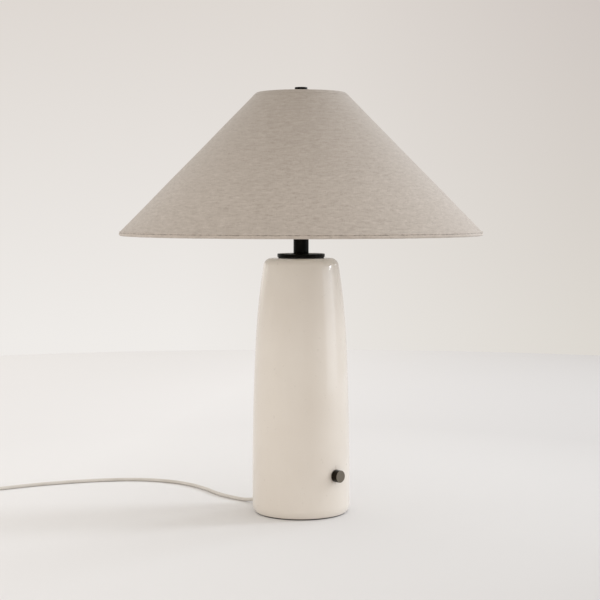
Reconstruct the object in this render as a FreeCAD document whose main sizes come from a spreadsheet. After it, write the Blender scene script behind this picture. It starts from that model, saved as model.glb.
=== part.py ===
import FreeCAD, Part
import math
import os
import re
import Sketcher

# Table lamp: a glazed ceramic base with a dimmer knob, a wire harp and a conical fabric shade.
# Millimetres, +Z up. The origin is the centre of the felt pad's underside, on the table.
# The knob faces -Y, the mains cord leaves near +Y, and the harp stands in the XZ plane.

SIZES = {
    # felt pad, bottom board and ceramic body
    "pad_radius": 64.2,
    "pad_thick": 1.5,
    "board_radius": 62.3,
    "board_thick": 2.0,
    "recess_radius": 62.5,
    "body_radius": 69.0,
    "body_wall": 8.0,
    "foot_radius": 65.8,
    "foot_top": 13.5,
    "straight_top": 45.0,
    "waist_radius": 64.3,
    "waist_height": 240.0,
    "shoulder_radius": 52.95,
    "shoulder_height": 350.0,
    "crown_radius": 41.3,
    "body_top": 360.0,
    "top_hole": 5.2,
    # knob and dimmer, measured outward from the lamp's axis along -Y
    "knob_height": 59.5,
    "knob_radius": 8.5,
    "knob_start": 68.7,
    "knob_end": 79.0,
    "knob_edge": 0.8,
    "knob_recess": 7.3,
    "knob_web": 72.8,
    "knob_bore_end": 77.0,
    "shaft_radius": 3.0,
    "shaft_start": 47.0,
    "shaft_end": 76.8,
    "shaft_flat": 1.9,
    "seat_radius": 9.2,
    "seat_start": 68.4,
    "bushing_radius": 4.75,
    "bushing_bore": 3.05,
    "bushing_start": 56.0,
    "bushing_end": 72.0,
    "bushing_hole": 5.0,
    "washer_radius": 7.0,
    "washer_thick": 0.8,
    "nut_corner": 6.9,
    "nut_thick": 2.0,
    "housing_radius": 15.0,
    "housing_back": 40.0,
    "housing_front": 58.6,
    "boss_radius": 6.8,
    "boss_front": 60.6,
    # cord exit, strain relief and inner leads
    "exit_angle": 98.0,
    "exit_height": 8.4,
    "exit_hole": 4.6,
    "relief_radius": 4.5,
    "relief_inner": 59.5,
    "flange_radius": 6.6,
    "flange_thick": 1.6,
    "boot_length": 17.0,
    "boot_droop": 11.0,
    "boot_start_radius": 4.2,
    "boot_end_radius": 3.1,
    "cord_radius": 2.6,
    "socket_lead_radius": 2.5,
    # lamp pipe, cap and neck
    "pipe_radius": 4.9,
    "pipe_bore": 3.3,
    "pipe_low": 340.0,
    "pipe_high": 399.0,
    "pipe_fit": 0.1,
    "lock_washer_radius": 16.0,
    "lock_washer_thick": 1.6,
    "lock_nut_corner": 10.0,
    "lock_nut_thick": 5.0,
    "gasket_radius": 32.2,
    "gasket_thick": 1.5,
    "cap_radius": 33.4,
    "cap_thick": 4.5,
    "cap_edge": 0.8,
    "neck_radius": 10.7,
    "neck_bore": 8.9,
    "neck_high": 390.0,
    # harp and its saddle
    "strip_thick": 1.5,
    "strip_width": 15.0,
    "strip_flat": 12.0,
    "strip_rise": 397.5,
    "harp_gap": 28.0,
    "arm_top": 404.0,
    "tongue_top": 414.0,
    "half_gap": 0.1,
    "wire_radius": 1.8,
    "leg_low": 404.2,
    "leg_round": 414.2,
    "leg_bend": 446.0,
    "harp_wide": 52.0,
    "belly_low": 478.0,
    "belly_high": 530.0,
    "harp_flat": 24.0,
    "harp_top": 569.5,
    "sleeve_radius": 3.3,
    "sleeve_bore": 1.86,
    "sleeve_low": 404.3,
    "sleeve_high": 417.3,
    "yoke_radius": 6.5,
    "yoke_low": 566.0,
    "yoke_high": 573.3,
    "pivot_radius": 2.0,
    "pivot_fit": 0.05,
    "pivot_low": 571.9,
    "pivot_hole": 571.7,
    "swivel_radius": 9.0,
    "swivel_low": 573.6,
    "swivel_high": 575.6,
    "stud_radius": 3.12,
    "stud_high": 590.0,
    "stud_edge": 0.8,
    # socket
    "socket_low": 391.6,
    "socket_thick": 0.8,
    "socket_hub": 9.0,
    "socket_cone_high": 402.0,
    "socket_cap_radius": 17.2,
    "socket_cap_high": 412.0,
    "shell_radius": 16.2,
    "shell_thick": 0.6,
    "shell_low": 407.5,
    "shell_high": 439.5,
    "shell_lip": 14.3,
    "liner_radius": 15.5,
    "liner_thick": 0.4,
    "liner_low": 408.0,
    "liner_high": 438.7,
    "interior_radius": 14.4,
    "interior_low": 403.0,
    "interior_high": 412.0,
    "thread_radius": 13.65,
    "thread_bore": 13.25,
    "thread_high": 436.0,
    "thread_flange": 8.5,
    "thread_flange_thick": 0.6,
    "contact_thick": 0.5,
    "contact_half": 7.0,
    "contact_high": 415.6,
    "contact_width": 4.0,
    "screw_head": 2.6,
    "screw_head_thick": 1.0,
    "screw_height": 405.2,
    "wire_core_radius": 0.9,
    # bulb
    "tip_low": 415.9,
    "tip_radius": 4.8,
    "insulator_low": 416.9,
    "insulator_high": 419.5,
    "insulator_radius": 10.4,
    "bulb_cap_low": 419.6,
    "bulb_cap_radius": 13.1,
    "bulb_cap_high": 441.0,
    "bulb_skirt_radius": 14.4,
    "bulb_skirt_high": 446.0,
    "bulb_housing_high": 480.0,
    "bulb_radius": 30.0,
    "bulb_middle": 495.0,
    "bulb_wall": 1.5,
    # shade: one straight line from the bottom hem to the top hem is the cover's outside
    "shade_low": 396.8,
    "shade_low_radius": 253.1,
    "shade_high": 586.0,
    "shade_high_radius": 66.95,
    "cover_wide": 1.7,
    "skin_gap": 0.15,
    "liner_wide": 0.8,
    "liner_inset": 0.5,
    "ring_radius": 1.5,
    "ring_fit": 0.2,
    "top_ring_middle": 61.3,
    "top_ring_height": 587.9,
    "bottom_ring_middle": 251.6,
    "bottom_ring_height": 394.2,
    "hem_round": 2.6,
    "hub_radius": 13.0,
    "hub_bore": 3.4,
    "hub_low": 575.7,
    "hub_thick": 2.0,
    "spoke_radius": 1.4,
    "spoke_start": 11.6,
    "spoke_end": 61.9,
    "spoke_end_height": 585.1,
    # finial
    "finial_radius": 8.9,
    "finial_low": 577.9,
    "finial_high": 598.2,
    "finial_edge": 1.0,
    "finial_bore": 5.0,
    "finial_bore_end": 592.4,
    "insert_radius": 4.9,
    "insert_bore": 3.2,
    "insert_low": 578.1,
    "insert_high": 592.0,
    # coil of spare cord, its tie and the plug
    "coil_x": -263.7,
    "coil_y": 469.7,
    "coil_inner": 20.6,
    "coil_outer": 41.4,
    "coil_high": 10.4,
    "coil_round": 2.4,
    "tie_angle": 79.0,
    "tie_thick": 0.6,
    "tie_width": 6.0,
    "tie_proud": 0.4,
    "tie_fit": 0.05,
    "plug_x": -345.0,
    "plug_y": 423.5,
    "plug_angle": 196.0,
    "plug_height": 6.5,
    "plug_length": 28.0,
    "plug_shoulder": 9.0,
    "plug_width": 22.0,
    "plug_tip_width": 16.0,
    "plug_thick": 12.6,
    "plug_round": 2.0,
    "plug_boot_length": 13.0,
    "plug_boot_radius": 4.4,
    "plug_boot_tip": 3.2,
    "blade_length": 16.0,
    "blade_width": 6.3,
    "blade_thick": 1.5,
    "blade_spacing": 12.7,
    "blade_hole": 1.6,
    "blade_hole_reach": 12.0,
}

# The mains cord's route from the strain relief's tip to the coil, and from the coil to the plug.
LEAD_ROUTE = [
    (-12.2, 86.7, 5.15),
    (-14.1, 99.6, 2.6),
    (-17.0, 122.0, 2.6),
    (-16.5, 160.0, 2.6),
    (-0.5, 214.0, 2.6),
    (1.0, 276.0, 2.6),
    (-29.0, 338.0, 2.6),
    (-88.0, 379.0, 2.6),
    (-158.0, 409.0, 2.6),
    (-224.0, 423.5, 2.6),
    (-271.1, 431.6, 2.6),
]
TAIL_ROUTE = [
    (-271.1, 431.6, 7.8),
    (-288.0, 434.9, 7.0),
    (-305.0, 434.0, 3.4),
    (-321.0, 430.3, 3.6),
    (-332.5, 427.1, 6.5),
]
INNER_ROUTE = [
    (-8.2, 58.4, 8.4),
    (-5.0, 35.0, 6.4),
    (4.0, 0.0, 6.4),
    (2.0, -30.0, 7.5),
    (0.0, -49.3, 18.0),
    (0.0, -49.3, 44.5),
]
SOCKET_ROUTE = [
    (0.0, -39.5, 62.0),
    (0.0, -14.0, 66.0),
    (0.0, 0.0, 112.0),
    (0.0, 0.0, 399.0),
]

doc = FreeCAD.newDocument("table_lamp")
sheet = doc.addObject("Spreadsheet::Sheet", "sizes")
for row, (alias, number) in enumerate(SIZES.items(), start=1):
    sheet.set(f"A{row}", alias)
    sheet.set(f"B{row}", str(number))
    sheet.setAlias(f"B{row}", alias)
doc.recompute()

sub_parts = []


def keep(item):
    """List an object as one of the lamp's sub-parts."""
    sub_parts.append(item)
    return item


def bound(text):
    """An expression with each size written as a cell of the sheet."""
    return re.sub(r"[a-z_]+", lambda word: "sizes." * (word.group() in SIZES) + word.group(), text)


def size(text):
    """The number that an expression of sizes gives now."""
    return float(sheet.evalExpression(bound(text)))


def place(item, x="0", y="0", z="0", axis=(0, 0, 1), turn="0"):
    """Put an object at a point, turned about an axis through it."""
    point = FreeCAD.Vector(size(x), size(y), size(z))
    item.Placement = FreeCAD.Placement(point, FreeCAD.Rotation(FreeCAD.Vector(*axis), size(turn)))
    for letter, text in zip("xyz", (x, y, z)):
        if text != "0":
            item.setExpression("Placement.Base." + letter, bound(text))
    return item


# Sketches: an outline is a list of corners (x, y) or (x, y, bend), joined in order and closed. A bend is
# the arc that arrives at its corner: "tangent" to the piece before it, or a radius with its centre on
# the "left" or "right" of the way.

def arc_between(start, end, middle, left):
    """A sketch arc from start to end round a centre, with the numbers of its start and end points."""
    circle = Part.Circle(middle, FreeCAD.Vector(0, 0, 1), (start - middle).Length)
    first, last = (start, end) if left else (end, start)
    angles = [math.atan2(point.y - middle.y, point.x - middle.x) for point in (first, last)]
    if angles[1] < angles[0]:
        angles[1] += 2 * math.pi
    return Part.ArcOfCircle(circle, *angles), ((1, 2) if left else (2, 1))


def left_of(direction):
    """The direction turned a quarter turn to the left."""
    return FreeCAD.Vector(-direction.y, direction.x, 0)


def segment(start, end, bend, heading):
    """The sketch geometry of one piece of an outline, its end numbers and its final heading."""
    chord = end - start
    if bend is None:
        return Part.LineSegment(start, end), (1, 2), chord.normalize()
    if bend == "tangent":
        side = left_of(heading)
        reach = chord.dot(chord) / (2 * chord.dot(side))
        middle = start + side * reach
        left = reach > 0
    else:
        left = bend[0] == "left"
        half = chord.Length / 2
        rise = math.sqrt(max(size(bend[1]) ** 2 - half ** 2, 0))
        side = left_of(FreeCAD.Vector(chord).normalize())
        middle = (start + end) * 0.5 + side * (rise if left else -rise)
    piece, ends = arc_between(start, end, middle, left)
    spoke = (end - middle).normalize()
    return piece, ends, left_of(spoke) * (1 if left else -1)


def draw(body, outline, plane="XZ_Plane"):
    """A closed sketch on one of the body's own planes, each corner bound to the sheet."""
    sketch = body.newObject("Sketcher::SketchObject", body.Name + "_outline")
    origin_plane = next(item for item in body.Origin.OriginFeatures if item.Role == plane)
    sketch.AttachmentSupport = [(origin_plane, "")]
    sketch.MapMode = "FlatFace"
    corners = [FreeCAD.Vector(size(corner[0]), size(corner[1]), 0) for corner in outline]
    bends = [corner[2] if len(corner) > 2 else None for corner in outline]
    count = len(outline)
    ends = []
    heading = None
    for index in range(count):
        after = (index + 1) % count
        piece, numbers, heading = segment(corners[index], corners[after], bends[after], heading)
        sketch.addGeometry(piece)
        ends.append(numbers)
    for index in range(count):
        before = index - 1 if index else count - 1
        joint = "Tangent" if bends[(index + 1) % count] == "tangent" else "Coincident"
        sketch.addConstraint(Sketcher.Constraint(joint, before, ends[before][1], index, ends[index][0]))
    for index, corner in enumerate(outline):
        for kind, axis, text in (("DistanceX", -2, corner[0]), ("DistanceY", -1, corner[1])):
            if text == "0":
                sketch.addConstraint(Sketcher.Constraint("PointOnObject", index, ends[index][0], axis))
                continue
            number = sketch.addConstraint(Sketcher.Constraint(kind, -1, 1, index, ends[index][0], size(text)))
            sketch.setExpression(f"Constraints[{number}]", bound(text))
        if bends[index] not in (None, "tangent"):
            arc = index - 1 if index else count - 1
            radius = bends[index][1]
            number = sketch.addConstraint(Sketcher.Constraint("Radius", arc, size(radius)))
            sketch.setExpression(f"Constraints[{number}]", bound(radius))
    return sketch


def lathe(name, outline, **where):
    """A body turned about its own Z axis from an outline of radius and height."""
    body = doc.addObject("PartDesign::Body", name)
    sketch = draw(body, outline)
    turned = body.newObject("PartDesign::Revolution", name + "_turned")
    turned.Profile = sketch
    turned.ReferenceAxis = (sketch, ["V_Axis"])
    turned.Angle = 360
    return place(body, **where)


def slab(name, outline, thick, plane="XZ_Plane", **where):
    """A body padded by the same amount to both sides of its outline's plane."""
    body = doc.addObject("PartDesign::Body", name)
    sketch = draw(body, outline, plane)
    pad = body.newObject("PartDesign::Pad", name + "_pad")
    pad.Profile = sketch
    pad.SideType = "Symmetric"
    pad.setExpression("Length", bound(thick))
    return place(body, **where)


def ring(inner, outer, low, high):
    """The outline of a washer, tube or disc."""
    return [(inner, low), (outer, low), (outer, high), (inner, high)]


def rod(name, radius, length, **where):
    """A plain cylinder standing on its point."""
    item = doc.addObject("Part::Cylinder", name)
    item.setExpression("Radius", bound(radius))
    item.setExpression("Height", bound(length))
    return place(item, **where)


def taper(name, low_radius, high_radius, length, **where):
    """A plain cone standing on its point."""
    item = doc.addObject("Part::Cone", name)
    item.setExpression("Radius1", bound(low_radius))
    item.setExpression("Radius2", bound(high_radius))
    item.setExpression("Height", bound(length))
    return place(item, **where)


def hexagon(name, corner_radius, length, **where):
    """A plain six-sided bar standing on its point."""
    item = doc.addObject("Part::Prism", name)
    item.Polygon = 6
    item.setExpression("Circumradius", bound(corner_radius))
    item.setExpression("Height", bound(length))
    return place(item, **where)


def block(name, length, width, height, **where):
    """A plain box from its corner."""
    item = doc.addObject("Part::Box", name)
    item.setExpression("Length", bound(length))
    item.setExpression("Width", bound(width))
    item.setExpression("Height", bound(height))
    return place(item, **where)


def cut(name, base, tool):
    """The base without the tool, which has to take some of it away."""
    item = doc.addObject("Part::Cut", name)
    item.Base = base
    item.Tool = tool
    doc.recompute()
    if item.Shape.Volume > base.Shape.Volume - 1e-3:
        raise RuntimeError(name + " cuts nothing")
    return item


def fuse(name, *pieces):
    """Several pieces made one solid."""
    item = doc.addObject("Part::MultiFuse", name)
    item.Shapes = list(pieces)
    return item


def group(name, *pieces):
    """Several separate solids that share a node."""
    item = doc.addObject("Part::Compound", name)
    item.Links = list(pieces)
    return item


def rounded_route(points):
    """A wire of straight runs joined by tangent arcs as large as the runs allow, and the arcs' radii."""
    corners = [FreeCAD.Vector(*point) for point in points]
    edges = []
    radii = []
    start = corners[0]
    for before, corner, after in zip(corners, corners[1:], corners[2:]):
        reach = 0.45 * min((corner - before).Length, (after - corner).Length)
        into = (corner - before).normalize()
        out = (after - corner).normalize()
        half_turn = into.getAngle(out) / 2
        radius = reach / math.tan(half_turn)
        enter = corner - into * reach
        leave = corner + out * reach
        inward = (out - into).normalize()
        middle = corner + inward * (radius / math.cos(half_turn) - radius)
        edges.append(Part.LineSegment(start, enter).toShape())
        edges.append(Part.Arc(enter, middle, leave).toShape())
        radii.append(radius)
        start = leave
    edges.append(Part.LineSegment(start, corners[-1]).toShape())
    return Part.Wire(edges), radii


def tube_along(name, points, radius):
    """A round tube along a rounded route, checked by its volume."""
    spine, radii = rounded_route(points)
    start = FreeCAD.Vector(*points[0])
    heading = FreeCAD.Vector(*points[1]) - start
    section = Part.Wire([Part.makeCircle(size(radius), start, heading)])
    shape = spine.makePipeShell([section], True, False)
    expected = math.pi * size(radius) ** 2 * spine.Length
    if abs(shape.Volume / expected - 1) > 0.01:
        raise RuntimeError(f"{name} has volume {shape.Volume:.1f}, not {expected:.1f}")
    print(name, "length", round(spine.Length, 1), "radii", [round(value) for value in radii])
    item = doc.addObject("Part::Feature", name)
    item.Shape = shape
    item.Placement = FreeCAD.Placement()
    return item


# Directions: pieces on the knob's axis are drawn upward and laid over to point along -Y.

OUT_OF_FRONT = {"z": "knob_height", "axis": (1, 0, 0), "turn": "90"}


# Base: pad, board and ceramic body

def base_pieces():
    """The felt pad, the bottom board and the hollow ceramic body with its three holes."""
    board_top = "pad_thick + board_thick"
    keep(lathe("felt_pad", ring("0", "pad_radius", "0", "pad_thick")))
    keep(lathe("bottom_board", ring("0", "board_radius", "pad_thick", board_top)))
    overhang = "(body_radius - foot_radius)"
    foot_bend = f"{overhang} / 2 + (foot_top - pad_thick)^2 / (2 * {overhang})"
    shell = lathe("ceramic_shell", [
        ("foot_radius", "pad_thick"),
        ("body_radius", "foot_top", ("left", foot_bend)),
        ("body_radius", "straight_top"),
        ("waist_radius", "waist_height", "tangent"),
        ("shoulder_radius", "shoulder_height", "tangent"),
        ("crown_radius", "body_top", "tangent"),
        ("top_hole", "body_top"),
        ("top_hole", "body_top - body_wall"),
        ("crown_radius - body_wall", "body_top - body_wall"),
        ("shoulder_radius - body_wall", "shoulder_height - body_wall", "tangent"),
        ("waist_radius - body_wall", "waist_height", "tangent"),
        ("body_radius - body_wall", "straight_top", "tangent"),
        ("body_radius - body_wall", board_top),
        ("recess_radius", board_top),
        ("recess_radius", "pad_thick"),
    ])
    knob_hole = rod("knob_hole", "bushing_hole", "body_radius", z="knob_height", axis=(1, 0, 0), turn="90")
    knob_seat = rod("knob_seat", "seat_radius", "body_wall", y="-seat_start", z="knob_height",
                    axis=(1, 0, 0), turn="90")
    cord_hole = rod("cord_hole", "exit_hole", "body_radius + body_wall", z="exit_height")
    point_outward(cord_hole)
    keep(cut("ceramic_body", shell, fuse("ceramic_holes", knob_hole, knob_seat, cord_hole)))


def point_outward(item, droop=0.0):
    """Turn a piece from +Z to the cord's way out of the body, with a droop below level."""
    level = FreeCAD.Rotation(FreeCAD.Vector(0, 1, 0), 90 + droop)
    swing = FreeCAD.Rotation(FreeCAD.Vector(0, 0, 1), size("exit_angle"))
    item.Placement = FreeCAD.Placement(item.Placement.Base, swing * level)
    return item


# Knob and dimmer

def dimmer_pieces():
    """The knob on its shaft, and the bushing, nut, washer and housing that hold it in the wall."""
    knob_body = lathe("knob_body", [
        ("knob_recess", "knob_start"),
        ("knob_radius - knob_edge / 2", "knob_start"),
        ("knob_radius", "knob_start + knob_edge / 2"),
        ("knob_radius", "knob_end - knob_edge"),
        ("knob_radius - knob_edge", "knob_end", ("left", "knob_edge")),
        ("0", "knob_end"),
        ("0", "knob_web"),
        ("knob_recess", "knob_web"),
    ], **OUT_OF_FRONT)
    bore = rod("knob_bore", "shaft_radius + 0.02", "knob_bore_end - knob_web", y="-knob_web", z="knob_height",
               axis=(1, 0, 0), turn="90")
    keep(cut("knob", knob_body, bore))
    shaft = rod("shaft_round", "shaft_radius", "shaft_end - shaft_start", y="-shaft_start", z="knob_height",
                axis=(1, 0, 0), turn="90")
    flat = block("shaft_flat_cut", "2 * shaft_radius", "shaft_end - knob_web", "shaft_radius",
                 x="-shaft_radius", y="-shaft_end", z="knob_height + shaft_flat")
    keep(cut("knob_shaft", shaft, flat))
    keep(lathe("dimmer_bushing", ring("bushing_bore", "bushing_radius", "bushing_start", "bushing_end"),
               **OUT_OF_FRONT))
    washer_front = "seat_start + washer_thick"
    keep(lathe("dimmer_washer", ring("bushing_hole", "washer_radius", "seat_start", washer_front),
               **OUT_OF_FRONT))
    nut = hexagon("dimmer_nut_solid", "nut_corner", "nut_thick", y="-seat_start - washer_thick",
                  z="knob_height", axis=(1, 0, 0), turn="90")
    nut_bore = rod("dimmer_nut_bore", "bushing_radius + 0.05", "nut_thick + 2", y="-seat_start",
                   z="knob_height", axis=(1, 0, 0), turn="90")
    keep(cut("dimmer_nut", nut, nut_bore))
    keep(lathe("dimmer_housing", [
        ("0", "housing_back"),
        ("housing_radius", "housing_back"),
        ("housing_radius", "housing_front"),
        ("boss_radius", "housing_front"),
        ("boss_radius", "boss_front"),
        ("bushing_radius + 0.05", "boss_front"),
        ("bushing_radius + 0.05", "bushing_start"),
        ("shaft_radius + 0.3", "bushing_start"),
        ("shaft_radius + 0.3", "shaft_start - 1"),
        ("0", "shaft_start - 1"),
    ], **OUT_OF_FRONT))


# Cord: strain relief, leads, coil, tie and plug

def at_exit(reach):
    """The point at a reach from the lamp's axis along the cord's way out."""
    along = {"x": "cos", "y": "sin"}
    place = {letter: f"{reach} * {part}(exit_angle * 1deg)" for letter, part in along.items()}
    return {**place, "z": "exit_height"}


def strain_relief():
    """A moulded relief: a neck in the wall, a flange outside it and a drooping tapered boot."""
    neck = rod("relief_neck", "relief_radius", "body_radius - relief_inner + 0.2", **at_exit("relief_inner"))
    flange = rod("relief_flange", "flange_radius", "flange_thick", **at_exit("body_radius"))
    boot = taper("relief_boot", "boot_start_radius", "boot_end_radius", "boot_length",
                 **at_exit("(body_radius + 1)"))
    for piece in (neck, flange):
        point_outward(piece)
    point_outward(boot, size("boot_droop"))
    keep(fuse("strain_relief", neck, flange, boot))


def cord_pieces():
    """The cord's free stretches, its coil and the leads inside the lamp."""
    keep(tube_along("cord_lead", LEAD_ROUTE, "cord_radius"))
    keep(tube_along("cord_tail", TAIL_ROUTE, "cord_radius"))
    keep(tube_along("inner_lead", INNER_ROUTE, "cord_radius"))
    keep(tube_along("socket_lead", SOCKET_ROUTE, "socket_lead_radius"))


def tie_loop(name, grow):
    """The tie's closed band round the coil's section, with all its faces moved out by an amount."""
    middle = "(coil_inner + coil_outer) / 2"
    across = "coil_outer - coil_inner"
    outer = block(name + "_outer", f"{across} + 2 * (tie_proud + {grow})", f"tie_width + 2 * {grow}",
                  f"coil_high + tie_proud + {grow}",
                  x=f"{middle} - ({across}) / 2 - tie_proud - {grow}", y=f"-tie_width / 2 - {grow}")
    inner = block(name + "_inner", f"{across} + 2 * (tie_proud - tie_thick - {grow})", "2 * tie_width",
                  f"coil_high + tie_proud - 2 * (tie_thick + {grow})",
                  x=f"{middle} - ({across}) / 2 - tie_proud + tie_thick + {grow}", y="-tie_width",
                  z=f"tie_thick + {grow}")
    return cut(name, outer, inner)


def coil_pieces():
    """The coil's outer shape with a groove for its tie, and the tie."""
    body = lathe("coil_ring", [
        ("coil_inner + coil_round", "0", ("left", "coil_round")),
        ("coil_outer - coil_round", "0"),
        ("coil_outer", "coil_round", ("left", "coil_round")),
        ("coil_outer", "coil_high - coil_round"),
        ("coil_outer - coil_round", "coil_high", ("left", "coil_round")),
        ("coil_inner + coil_round", "coil_high"),
        ("coil_inner", "coil_high - coil_round", ("left", "coil_round")),
        ("coil_inner", "coil_round"),
    ])
    coil = cut("cord_coil", body, tie_loop("tie_groove", "tie_fit"))
    tie = tie_loop("cord_tie", "0")
    for item in (coil, tie):
        keep(place(item, x="coil_x", y="coil_y", turn="tie_angle"))


def plug_pieces():
    """A two-blade plug lying on the table, with a tapered boot towards its cord."""
    where = {"x": "plug_x", "y": "plug_y", "z": "plug_height", "turn": "plug_angle"}
    half = "plug_width / 2"
    tip_half = "plug_tip_width / 2"
    grip = slab("plug_grip", [
        ("0", "-" + tip_half),
        ("plug_shoulder", "-" + half),
        ("plug_length", "-" + half),
        ("plug_length", half),
        ("plug_shoulder", half),
        ("0", tip_half),
    ], "plug_thick", plane="XY_Plane")
    doc.recompute()
    pad = grip.Tip
    rounding = grip.newObject("PartDesign::Fillet", "plug_rounding")
    rounding.Base = (pad, [f"Edge{number + 1}" for number in range(len(pad.Shape.Edges))])
    rounding.setExpression("Radius", bound("plug_round"))
    grip.Tip = rounding
    boot = taper("plug_boot", "plug_boot_tip", "plug_boot_radius", "plug_boot_length + 1",
                 x="-plug_boot_length", axis=(0, 1, 0), turn="90")
    keep(place(fuse("plug_body", grip, boot), **where))
    blades = []
    for side, sign in (("left", "-"), ("right", "+")):
        offset = f"{sign} blade_spacing / 2"
        plate = block(f"blade_plate_{side}", "blade_length", "blade_thick", "blade_width", x="plug_length",
                      y=f"0 {offset} - blade_thick / 2", z="-blade_width / 2")
        hole = rod(f"blade_hole_{side}", "blade_hole", "4 * blade_thick", x="plug_length + blade_hole_reach",
                   y=f"0 {offset} + 2 * blade_thick", axis=(1, 0, 0), turn="90")
        blades.append(cut(f"blade_{side}", plate, hole))
    keep(place(group("plug_blades", *blades), **where))


# Top of the base: pipe, washers, cap and neck

def top_pieces():
    """The threaded pipe that clamps the cap and neck to the ceramic, with its nut and washers."""
    pipe_fit = "pipe_radius + pipe_fit"
    under = "body_top - body_wall"
    keep(lathe("lamp_pipe", ring("pipe_bore", "pipe_radius", "pipe_low", "pipe_high")))
    keep(lathe("lock_washer", ring(pipe_fit, "lock_washer_radius", f"{under} - lock_washer_thick", under)))
    nut = hexagon("lock_nut_solid", "lock_nut_corner", "lock_nut_thick",
                  z=f"{under} - lock_washer_thick - lock_nut_thick")
    bore = rod("lock_nut_bore", pipe_fit, "body_wall", z=f"{under} - body_wall")
    keep(cut("lock_nut", nut, bore))
    gasket_top = "body_top + gasket_thick"
    cap_top = gasket_top + " + cap_thick"
    keep(lathe("cap_gasket", ring(pipe_fit, "gasket_radius", "body_top", gasket_top)))
    keep(lathe("cap_disc", [
        (pipe_fit, gasket_top),
        ("cap_radius", gasket_top),
        ("cap_radius", cap_top + " - cap_edge"),
        ("cap_radius - cap_edge", cap_top, ("left", "cap_edge")),
        (pipe_fit, cap_top),
    ]))
    keep(lathe("neck_tube", ring("neck_bore", "neck_radius", cap_top, "neck_high")))


# Harp, its saddle and sleeves, and the swivel stud

def half_rod(name, side, low, high, y_low):
    """Half of a round rod at one leg of the harp, on one side of the XZ plane."""
    x_middle = f"{side} * harp_gap"
    whole = rod(name + "_round", "wire_radius", f"{high} - {low}", x=x_middle, z=low)
    keeper = block(name + "_half", "4 * wire_radius", "2 * wire_radius", f"{high} - {low}",
                   x=f"{x_middle} - 2 * wire_radius", y=y_low, z=low)
    item = doc.addObject("Part::Common", name)
    item.Base = whole
    item.Tool = keeper
    return item


def saddle():
    """A bent steel strip under the socket, with a half-round tongue up each end for a harp leg."""
    outside = "harp_gap + strip_thick / 2"
    inside = "harp_gap - strip_thick / 2"
    top = "neck_high + strip_thick"
    strip = slab("saddle_strip", [
        ("-strip_flat", "neck_high"),
        ("strip_flat", "neck_high"),
        (outside, "strip_rise"),
        (outside, "arm_top"),
        (inside, "arm_top"),
        (inside, "strip_rise + strip_thick / 2"),
        ("strip_flat - strip_thick / 3", top),
        ("-strip_flat + strip_thick / 3", top),
        ("-(" + inside + ")", "strip_rise + strip_thick / 2"),
        ("-(" + inside + ")", "arm_top"),
        ("-(" + outside + ")", "arm_top"),
        ("-(" + outside + ")", "strip_rise"),
    ], "strip_width")
    behind = "-half_gap - 2 * wire_radius"
    tongues = [
        half_rod("saddle_tongue_" + name, side, "arm_top - strip_thick", "tongue_top", behind)
        for name, side in (("left", -1), ("right", 1))
    ]
    hole = rod("saddle_hole", "pipe_radius + pipe_fit", "4 * strip_thick", z="neck_high - strip_thick")
    keep(cut("harp_saddle", fuse("saddle_solid", strip, *tongues), hole))


def harp_pieces():
    """The wire harp, the yoke at its top, its two sleeves and the stud that swivels in the yoke."""
    half = [
        ("harp_gap", "leg_round"),
        ("harp_gap", "leg_bend"),
        ("harp_wide", "belly_low"),
        ("harp_wide", "belly_high"),
        ("harp_flat", "harp_top"),
    ]
    right = [(size(x), 0.0, size(z)) for x, z in half]
    left = [(-x, y, z) for x, y, z in reversed(right)]
    wire = tube_along("harp_wire", right + left, "wire_radius")
    legs = [
        half_rod("harp_leg_" + name, side, "leg_low", "leg_round", "half_gap")
        for name, side in (("left", -1), ("right", 1))
    ]
    keep(fuse("harp_loop", wire, *legs))
    for name, side in (("left", "-"), ("right", "")):
        keep(lathe("harp_sleeve_" + name, ring("sleeve_bore", "sleeve_radius", "sleeve_low", "sleeve_high"),
                   x=side + "harp_gap"))
    yoke = lathe("yoke_solid", ring("0", "yoke_radius", "yoke_low", "yoke_high"))
    wire_bore = rod("yoke_wire_bore", "wire_radius + 0.2", "4 * yoke_radius", x="-2 * yoke_radius",
                    z="harp_top", axis=(0, 1, 0), turn="90")
    pivot_bore = rod("yoke_pivot_bore", "pivot_radius + pivot_fit", "yoke_radius", z="pivot_hole")
    keep(cut("harp_yoke", yoke, fuse("yoke_bores", wire_bore, pivot_bore)))
    keep(lathe("finial_stud", [
        ("0", "pivot_low"),
        ("pivot_radius", "pivot_low"),
        ("pivot_radius", "swivel_low"),
        ("swivel_radius", "swivel_low"),
        ("swivel_radius", "swivel_high"),
        ("stud_radius", "swivel_high"),
        ("stud_radius", "stud_high - stud_edge"),
        ("stud_radius - stud_edge", "stud_high"),
        ("0", "stud_high"),
    ]))


# Socket

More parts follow.
